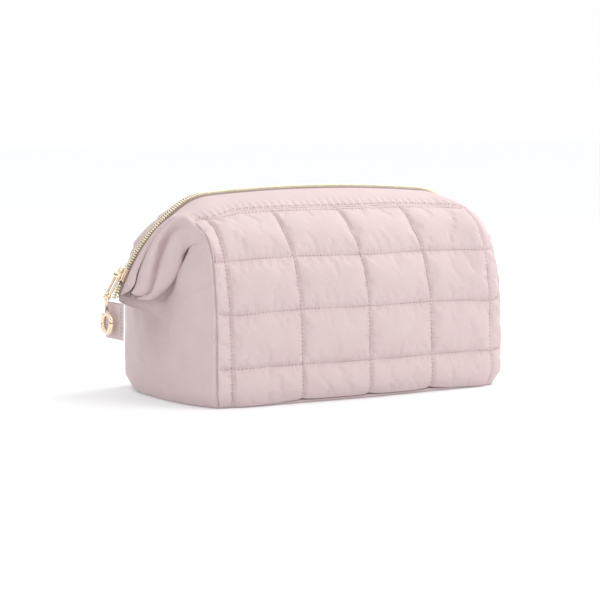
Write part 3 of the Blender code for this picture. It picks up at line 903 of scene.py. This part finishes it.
def build_gusset(side, left):
    along, across, grid = gusset_grid()
    if not left:
        grid = fitted_to_round_end(grid)
    normals = -normals_of(grid)
    soft = np.sin(math.pi * along)[:, None] * np.sin(math.pi * across)[None, :]
    relief = 1.1 * ripple(grid, 13.0, 4.0 if left else 8.0) + 0.35 * ripple(grid, 4.5, 1.0)
    grid = grid + normals * (relief * soft)[:, :, None]
    if not left:
        grid = grid * np.array([-1.0, 1.0, 1.0])
    flipped = grid[:, ::-1] if left else grid
    placed = behind_zipper(on_side(flipped[::-1], side), side)
    wing = sheet_object(name_on(side, left, "gusset_folds"), placed, FABRIC, 0.8)
    here = "left" if left == (side == "front") else "right"
    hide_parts(f"{side}_{here}_gusset")
    rides(wing, side + "_frame")


# ---------------------------------------------------------------- base and its lining


def outline_loop(height, inset):
    """Closed outline of the tub at a length up the panels, moved in along its normal."""
    xs = np.linspace(LEFT_X, RIGHT_X, 60)
    front = panel_points(xs, np.array([height]))[0]
    right = end_row("round", height) * np.array([-1.0, 1.0, 1.0])
    half = np.concatenate([front[:-1], right[:-1]])
    loop = np.concatenate([half, turned(half)])
    ahead = np.roll(loop, -1, axis=0) - np.roll(loop, 1, axis=0)
    inward = np.stack([-ahead[:, 1], ahead[:, 0], 0 * ahead[:, 0]], -1)
    inward /= np.linalg.norm(inward, axis=1, keepdims=True)
    return loop + inward * inset


def end_row(kind, height):
    """Points round one end, from the seam on the front to the middle of the end and on to the back seam."""
    seam = seam_at(kind, np.array([height]))[0]
    other = "sharp" if kind == "round" else "round"
    far = seam_at(other, np.array([height]))[0]
    front_y = np.linspace(seam[0] - SEAM_DRAW * foot_tuck(seam[1]), 0.0, 26)
    back_y = np.linspace(0.0, far[0] - SEAM_DRAW * foot_tuck(far[1]), 26)[1:]
    front = np.stack([-end_x(kind, front_y, seam[1] + 0 * front_y), -front_y, seam[1] + 0 * front_y], -1)
    back = np.stack([-end_x(other, back_y, far[1] + 0 * back_y), back_y, far[1] + 0 * back_y], -1)
    return foot_curl(np.concatenate([front, back]))


def build_base():
    rings = []
    for z, inset in ((0.0, 4.0), (0.0, 3.0), (0.4, 1.9), (0.9, 1.2), (1.6, 1.0), (2.2, 1.6), (2.6, 3.0)):
        ring = outline_loop(0.0, inset)
        ring[:, 2] = z
        rings.append(ring)
    base = tidy_normals(rings_object("base_cushion", rings, FABRIC))
    add_flat_uv(base)
    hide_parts("base_panel")
    rides(base, "tub")
    loop = outline_loop(3.0, 5.2)
    rings = []
    for shrink, z in ((1.0, 5.0), (0.985, 5.6), (0.8, 5.2), (0.5, 5.5), (0.2, 5.3)):
        ring = loop * np.array([shrink, shrink, 0.0]) + np.array([0.0, 0.0, z])
        rings.append(ring + np.stack([0 * ring[:, 0], 0 * ring[:, 0], 0.35 * ripple(ring, 18.0, 6.0)], -1))
    floor_lining = tidy_normals(rings_object("floor_lining", rings, LINING))
    add_flat_uv(floor_lining)
    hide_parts("base_lining")
    rides(floor_lining, "tub")


def add_flat_uv(made):
    """Maps cloth laid flat: its U and V are X and Y."""
    layer = made.data.uv_layers.new(name="cloth")
    for loop in made.data.loops:
        spot = made.data.vertices[loop.vertex_index].co
        layer.data[loop.index].uv = (spot.x, spot.y)


# ---------------------------------------------------------------- zipper tape and teeth

TOOTH_PITCH = 1.8
TOOTH_LONG = 0.66
TOOTH_TALL = 1.25
# Each ring of a tooth: how far out from the middle as a share of the chain's half width, then width and height.
TOOTH_RINGS = (
    (-1.0, 0.7, 0.4), (-0.95, 1.0, 0.95), (-0.7, 1.0, 1.0), (-0.64, 0.8, 0.4),
    (-0.54, 0.8, 0.4), (-0.48, 0.95, 0.92), (-0.2, 0.95, 0.92), (-0.1, 0.6, 0.5),
)
CLOSED_FROM, CLOSED_TO = -(62.2 - 2.6), 67.0


def tooth(slope, y_sign):
    """Rings of one tooth: a root on the tape, a groove for its thread and a head past the middle."""
    rings = []
    for reach, wide, tall in TOOTH_RINGS:
        ring = []
        for k in range(8):
            a = 2 * math.pi * (k + 0.5) / 8
            u = math.copysign(abs(math.cos(a)) ** 0.6, math.cos(a)) * wide * TOOTH_LONG
            n = math.copysign(abs(math.sin(a)) ** 0.6, math.sin(a)) * tall * TOOTH_TALL
            ring.append(zip_place(slope, u, n, y_sign * reach * -TEETH_HALF))
        rings.append(ring)
    return rings


def teeth_object(name, slopes, y_sign, body):
    verts, faces = [], []
    for slope in slopes:
        base = len(verts)
        rings = tooth(slope, y_sign)
        for ring in rings:
            verts.extend(ring)
        for i in range(len(rings) - 1):
            for s in range(8):
                a, b = base + i * 8 + s, base + i * 8 + (s + 1) % 8
                faces.append((a, b, b + 8, a + 8))
        faces.append(tuple(base + s for s in reversed(range(8))))
        faces.append(tuple(base + (len(rings) - 1) * 8 + s for s in range(8)))
    return rides(tidy_normals(new_object(name, np.array(verts), faces, TEETH)), body)


def build_zipper(side):
    sign = 1.0 if side == "front" else -1.0
    start, stop = length_at(CLOSED_FROM), length_at(CLOSED_TO)
    shift = 0.0 if side == "front" else TOOTH_PITCH / 2
    slopes = slope_at(np.arange(start + shift, stop, TOOTH_PITCH))
    row = teeth_object(side + "_teeth_row", slopes, sign, side + "_frame")
    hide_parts(side + "_teeth")
    groove = zip_place(slopes, 0.0, 0.5 * TOOTH_TALL, sign * 0.59 * -TEETH_HALF)
    _, _, nx, nz = zip_line(slopes)
    # The chain thread's dark colour is painted shade along the teeth's groove.
    sewn = dashes_object(
        side + "_chain_thread_painted_shade", [(groove, np.stack([nx, 0 * nx, nz], -1))], CHAIN_THREAD_PAINTED_SHADE, 1.5, 0.3, 0.3
    )
    rides(sewn, side + "_frame")
    slopes = slope_at(np.arange(length_at(-BAND_END), length_at(BAND_END), 2.0))
    lines = [
        zip_place(slopes, 0.0, out, -sign * y)
        for y, out in ((0.9, -0.25), (2.2, -0.45), (3.4, -0.9), (6.5, -2.6), (9.0, -4.0))
    ]
    grid = np.array(lines)
    # The tape's dark brown colour is painted shade, not the tape's own colour.
    tape = sheet_object(side + "_tape", grid[::-1] if side == "front" else grid, TAPE_PAINTED_SHADE, 0.45)
    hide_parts(side + "_zipper_tape")
    rides(tape, side + "_frame")


def build_chain_ends():
    slopes = slope_at(np.arange(length_at(-69.0), length_at(-64.5), TOOTH_PITCH / 2))
    low = teeth_object("left_end_teeth", slopes[::2], 1.0, "tub")
    teeth_object("left_end_teeth_back", slopes[1::2], -1.0, "tub")
    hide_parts("left_chain_end")
    rings = []
    for slope, wide, tall in (
        (68.55, 2.6, 0.8), (68.65, 3.1, 1.3), (69.1, 3.2, 1.4), (69.55, 3.1, 1.3), (69.65, 2.6, 0.8)
    ):
        rings.append(rounded_ring(slope, wide, tall))
    stop = tidy_normals(rings_object("right_end_stop", rings, TEETH))
    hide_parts("right_chain_stop")
    rides(stop, "tub")


def rounded_ring(slope, wide, tall, count=16):
    ring = []
    for k in range(count):
        a = 2 * math.pi * k / count
        y = math.copysign(abs(math.cos(a)) ** 0.5, math.cos(a)) * wide
        n = math.copysign(abs(math.sin(a)) ** 0.5, math.sin(a)) * tall
        ring.append(zip_place(slope, 0.0, n, y))
    return ring


# ---------------------------------------------------------------- tabs


def build_tab(side_name, sign):
    """A folded strip of cloth: two soft layers round a bottom fold, sewn along its edges."""
    low, high = node_box(side_name + "_tab")
    near = low[0] if sign < 0 else high[0]
    far = high[0] if sign < 0 else low[0]
    centre_z = np.linspace(low[2] + 0.4, high[2] - 0.2, 26)
    wide = lerp(12.6, 13.3, smooth((centre_z - low[2]) / 12.0))
    across = np.linspace(-1.0, 1.0, 40)
    layers = []
    for x, push in ((near, 1.0), (far, -1.0)):
        layer = np.empty((len(centre_z), len(across), 3))
        layer[:, :, 1] = wide[:, None] * across[None, :]
        layer[:, :, 2] = centre_z[:, None]
        edge = (1 - across**6)[None, :] * np.minimum(1.0, (centre_z - low[2]) / 1.6)[:, None]
        layer[:, :, 0] = lerp((near + far) / 2, x, edge)
        layer[:, :, 0] += sign * push * 0.18 * ripple(layer, 6.0, 12.0) * edge
        layers.append(layer)
    rows, cols = layers[0].shape[:2]
    faces = grid_faces(rows, cols)
    back = [tuple(rows * cols + i for i in reversed(face)) for face in faces]
    rim = [i for i in range(cols)] + [r * cols + cols - 1 for r in range(1, rows)]
    rim += [(rows - 1) * cols + c for c in range(cols - 2, -1, -1)] + [r * cols for r in range(rows - 2, 0, -1)]
    joins = []
    for a, b in zip(rim, rim[1:] + rim[:1]):
        joins.append((b, a, a + rows * cols, b + rows * cols))
    verts = np.concatenate([layer.reshape(-1, 3) for layer in layers])
    uv = verts[:, 1:]
    tab = tidy_normals(new_object(side_name + "_folded_tab", verts, faces + back + joins, FABRIC, uv))
    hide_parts(side_name + "_tab")
    rides(tab, "tub")
    normal = np.array([sign, 0.0, 0.0])
    seams = []
    for y_sign in (-1.0, 1.0):
        run = np.stack([0 * centre_z + near + sign * 0.02, y_sign * (wide - 2.2), centre_z], -1)[2:-2]
        seams.append((run, np.tile(normal, (len(run), 1))))
    rides(dashes_object(side_name + "_tab_thread", seams, THREAD_WITH_HOLE_SHADE, 1.7, 0.8, 0.2), "tub")


# ---------------------------------------------------------------- slider, link and ring

SLIDER_SLOPE = -61.8


def slider_solid(name, sections, material, count=20, power=0.45):
    """A rounded solid on the zipper; a section is place along, half width, lowest and highest."""
    rings = []
    for along, wide, low, high in sections:
        ring = []
        for k in range(count):
            a = 2 * math.pi * k / count
            y = math.copysign(abs(math.cos(a)) ** power, math.cos(a)) * wide
            n = lerp(low, high, 0.5 + 0.5 * math.copysign(abs(math.sin(a)) ** power, math.sin(a)))
            ring.append(zip_place(SLIDER_SLOPE, along, n, y))
        rings.append(ring)
    return tidy_normals(rings_object(name, rings, material))


def tube_rings(centres, radius, flat, closed, sides=14):
    """Round rings along a line that lies in a plane with the given normal."""
    count = len(centres)
    rings = []
    for i in range(count):
        back = centres[i - 1] if closed or i else centres[0]
        ahead = centres[(i + 1) % count] if closed or i < count - 1 else centres[-1]
        run = (ahead - back) / np.linalg.norm(ahead - back)
        out = np.cross(run, flat)
        size = radius[i] if hasattr(radius, "__len__") else radius
        angles = [2 * math.pi * k / sides for k in range(sides)]
        rings.append([centres[i] + size * (math.cos(a) * out + math.sin(a) * flat) for a in angles])
    return rings


def joined(name, *parts):
    """One object from several."""
    bm = bmesh.new()
    for part in parts:
        bm.from_mesh(part.data)
    mesh = bpy.data.meshes.new(name)
    bm.to_mesh(mesh)
    bm.free()
    mesh.materials.append(parts[0].data.materials[0])
    mesh.shade_smooth()
    for part in parts:
        bpy.data.objects.remove(part)
    made = bpy.data.objects.new(name, mesh)
    bpy.context.scene.collection.objects.link(made)
    return made


# Sections of the slider's two plates: place along, half width, lowest and highest
SLIDER_TOP = [
    (-4.75, 2.6, 1.7, 2.2), (-4.5, 3.4, 1.45, 2.6), (-3.6, 4.0, 1.3, 2.9), (0.0, 4.25, 1.3, 3.2),
    (3.4, 4.4, 1.3, 2.9), (4.5, 3.9, 1.45, 2.6), (4.75, 3.2, 1.7, 2.2),
]
SLIDER_LOW = [
    (-4.75, 2.4, -2.5, -2.1), (-4.4, 3.2, -2.8, -1.8), (4.4, 3.6, -2.8, -1.8), (4.75, 2.8, -2.5, -2.1),
]


def build_slider():
    top = slider_solid("slider_top", SLIDER_TOP, GOLD)
    low = slider_solid("slider_low", SLIDER_LOW, GOLD)
    cheeks = []
    for sign in (-1.0, 1.0):
        sections = []
        for along, shrink in ((-4.6, 0.35), (-4.2, 0.0), (4.2, 0.0), (4.6, 0.35)):
            sections.append((along, shrink))
        rings = []
        for along, shrink in sections:
            ring = []
            for k in range(12):
                a = 2 * math.pi * k / 12
                y = sign * (3.3 + (0.36 - shrink * 0.4) * math.copysign(abs(math.cos(a)) ** 0.6, math.cos(a)))
                n = -0.55 + (2.1 - shrink) * math.copysign(abs(math.sin(a)) ** 0.6, math.sin(a))
                ring.append(zip_place(SLIDER_SLOPE, along, n, y))
            rings.append(ring)
        cheeks.append(tidy_normals(rings_object("cheek", rings, GOLD)))
    nose = []
    for along, half in ((3.2, 0.8), (4.4, 1.0), (4.7, 0.6)):
        nose.append((along, half, -2.0, 1.6))
    body = joined("slider_shell", top, low, *cheeks, slider_solid("nose", nose, GOLD))
    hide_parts("slider_body")
    rides(body, "slider")
    cover = [(-4.2, 1.9, 2.9, 3.4), (-4.0, 2.8, 2.8, 4.5), (-3.1, 3.3, 2.8, 5.6), (0.0, 3.5, 2.8, 6.2)]
    cover += [(3.1, 3.4, 2.8, 5.6), (4.0, 2.9, 2.8, 4.5), (4.2, 2.0, 2.9, 3.4)]
    bridge = slider_solid("slider_lock_cover", cover, GOLD, 28, 0.55)
    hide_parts("slider_bridge")
    rides(bridge, "slider")


def build_link():
    low = RING_EYE
    run = low - LINK_PIVOT
    length = np.linalg.norm(run)
    down, wide = run / length, np.array([0.0, 1.0, 0.0])
    half, bend = 2.7, 1.9
    centres = []
    for end, sign in ((length - bend, 1.0), (bend, -1.0)):
        for y_sign in (sign, -sign):
            span = np.linspace(0.0, 90.0, 7) if y_sign == sign else np.linspace(90.0, 0.0, 7)[1:]
            for angle in np.radians(span):
                y = y_sign * (half - bend + bend * math.cos(angle))
                centres.append(LINK_PIVOT + down * (end + sign * bend * math.sin(angle)) + wide * y)
    flat = np.cross(down, wide)
    link = tidy_normals(rings_object("link_wire", tube_rings(centres, 0.9, flat, True), GOLD, True))
    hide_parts("pull_link")
    rides(link, "link")


def build_ring():
    low, high = node_box("pull_ring")
    minor = (high[0] - low[0]) / 2 if high[0] - low[0] < 4.0 else 1.75
    major = (high[1] - low[1]) / 2 - minor
    middle = np.array([RING_EYE[0], 0.0, low[2] + major + minor])
    turns = np.linspace(0.0, 2 * math.pi, 72, endpoint=False)
    centres = [middle + major * np.array([0.0, math.sin(t), math.cos(t)]) for t in turns]
    sizes = [minor * (1.05 - 0.10 * math.cos(t)) for t in turns]
    ring_tube = tube_rings(centres, sizes, np.array([1.0, 0.0, 0.0]), True, 18)
    ring = tidy_normals(rings_object("ring", ring_tube, GOLD, True))
    eye_turns = np.linspace(0.0, 2 * math.pi, 36, endpoint=False)
    centres = [RING_EYE + 2.1 * np.array([math.sin(t), 0.0, math.cos(t)]) for t in eye_turns]
    eye_tube = tube_rings(centres, 0.68, np.array([0.0, 1.0, 0.0]), True)
    eye = tidy_normals(rings_object("eye", eye_tube, GOLD, True))
    neck_low, neck_high = middle[2] + major, RING_EYE[2] - 2.0
    levels = np.linspace(neck_low, neck_high, 12)
    waist = [0.8 + 0.75 * (1 - k / 11) ** 2 + 0.15 * (k / 11) ** 3 for k in range(12)]
    centres = [np.array([RING_EYE[0], 0.0, z]) for z in levels]
    neck_tube = tube_rings(centres, waist, np.array([1.0, 0.0, 0.0]), False)
    neck = tidy_normals(rings_object("neck", neck_tube, GOLD))
    pull = joined("ring_pull", ring, eye, neck)
    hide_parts("pull_ring")
    rides(pull, "puller")


# ---------------------------------------------------------------- studio

CAMERA_AT = (-758.7, -1179.6, 189.9)
CAMERA_TO = (-11.6, 0.0, 60.1)
LENS = 121.9
# Brightness of the tent from straight down (0) over the horizon (0.5) to straight up (1).
TENT_BANDS = (
    (0.0, 0.95), (0.49, 0.95), (0.51, 0.2), (0.555, 0.25), (0.595, 1.4),
    (0.74, 1.4), (0.78, 0.6), (0.83, 0.6), (0.87, 1.15), (1.0, 1.0),
)


def add_light(name, spot, aim, size, power, colour):
    lamp = bpy.data.lights.new(name, "AREA")
    lamp.shape = "RECTANGLE"
    lamp.size, lamp.size_y = size
    lamp.energy = power
    lamp.color = colour
    made = bpy.data.objects.new(name, lamp)
    made.location = spot
    made.rotation_euler = (Vector(aim) - Vector(spot)).to_track_quat("-Z", "Y").to_euler()
    bpy.context.scene.collection.objects.link(made)


def studio_world():
    """White to the camera; as a light it is a white tent whose brightness by height is TENT_BANDS."""
    world = bpy.data.worlds.new("studio")
    world.use_nodes = True
    tree = world.node_tree
    backdrop = tree.nodes["Background"]
    backdrop.inputs["Color"].default_value = (1.0, 1.0, 1.0, 1.0)
    tent = add_node(tree, "ShaderNodeBackground")
    place = add_node(tree, "ShaderNodeTexCoord")
    apart = add_node(tree, "ShaderNodeSeparateXYZ")
    lift = add_node(tree, "ShaderNodeMapRange")
    lift.inputs["From Min"].default_value = -1.0
    bands = add_node(tree, "ShaderNodeValToRGB")
    while len(bands.color_ramp.elements) < len(TENT_BANDS):
        bands.color_ramp.elements.new(0.5)
    for element, (spot, level) in zip(bands.color_ramp.elements, TENT_BANDS):
        element.position = spot
        element.color = (level, level, level, 1.0)
    tree.links.new(place.outputs["Generated"], apart.inputs["Vector"])
    tree.links.new(apart.outputs["Z"], lift.inputs["Value"])
    tree.links.new(lift.outputs["Result"], bands.inputs["Fac"])
    tree.links.new(bands.outputs["Color"], tent.inputs["Color"])
    path = add_node(tree, "ShaderNodeLightPath")
    pick = add_node(tree, "ShaderNodeMixShader")
    tree.links.new(path.outputs["Is Camera Ray"], pick.inputs["Fac"])
    tree.links.new(tent.outputs["Background"], pick.inputs[1])
    tree.links.new(backdrop.outputs["Background"], pick.inputs[2])
    tree.links.new(pick.outputs["Shader"], tree.nodes["World Output"].inputs["Surface"])
    return world


FLOOR_HALF = 9000


def build_studio():
    scene = bpy.context.scene
    camera = bpy.data.objects.new("camera", bpy.data.cameras.new("camera"))
    camera.data.lens = LENS
    camera.data.sensor_width = 36.0
    camera.location = Vector(CAMERA_AT) * MM
    camera.rotation_euler = ((Vector(CAMERA_TO) - Vector(CAMERA_AT)) * MM).to_track_quat("-Z", "Y").to_euler()
    scene.collection.objects.link(camera)
    scene.camera = camera
    material, tree, shader = plain_material("pale_floor")
    place = add_node(tree, "ShaderNodeTexCoord")
    grain = add_node(tree, "ShaderNodeTexNoise", Scale=3.0, Detail=1.0)
    tree.links.new(place.outputs["Object"], grain.inputs["Vector"])
    mixed_colour(tree, shader, grain.outputs["Fac"], (0.780, 0.792, 0.800), (0.790, 0.800, 0.806))
    shader.inputs["Roughness"].default_value = 0.9
    shader.inputs["Specular IOR Level"].default_value = 0.0
    shader.inputs["Emission Color"].default_value = (1.0, 1.0, 1.0, 1.0)
    shader.inputs["Emission Strength"].default_value = 0.165
    corners = [(x * FLOOR_HALF, y * FLOOR_HALF, 0) for x, y in ((-1, -1), (1, -1), (1, 1), (-1, 1))]
    floor = new_object("floor", np.array(corners), [(0, 1, 2, 3)], material)
    scene.world = studio_world()
    add_light("key", (0.6, -0.9, 1.2), (0.03, 0.0, 0.08), (0.8, 0.8), 6.5, (1.0, 0.99, 0.98))
    add_light("right", (0.95, 0.3, 1.1), (0.0, 0.0, 0.1), (0.6, 0.6), 8.0, (1.0, 0.99, 0.98))
    scene.view_settings.view_transform = "Standard"


# ---------------------------------------------------------------- all of it


def main():
    build_studio()
    for side in SIDES:
        build_panel(side)
        build_band(side)
        build_zipper(side)
        frame["nodes"][side + "_frame_wire"].data.materials.clear()
        frame["nodes"][side + "_frame_wire"].data.materials.append(STEEL)
        for left in (True, False):
            build_end(side, left)
            build_gusset(side, left)
    build_base()
    build_chain_ends()
    build_tab("left", -1.0)
    build_slider()
    build_link()
    build_ring()


main()
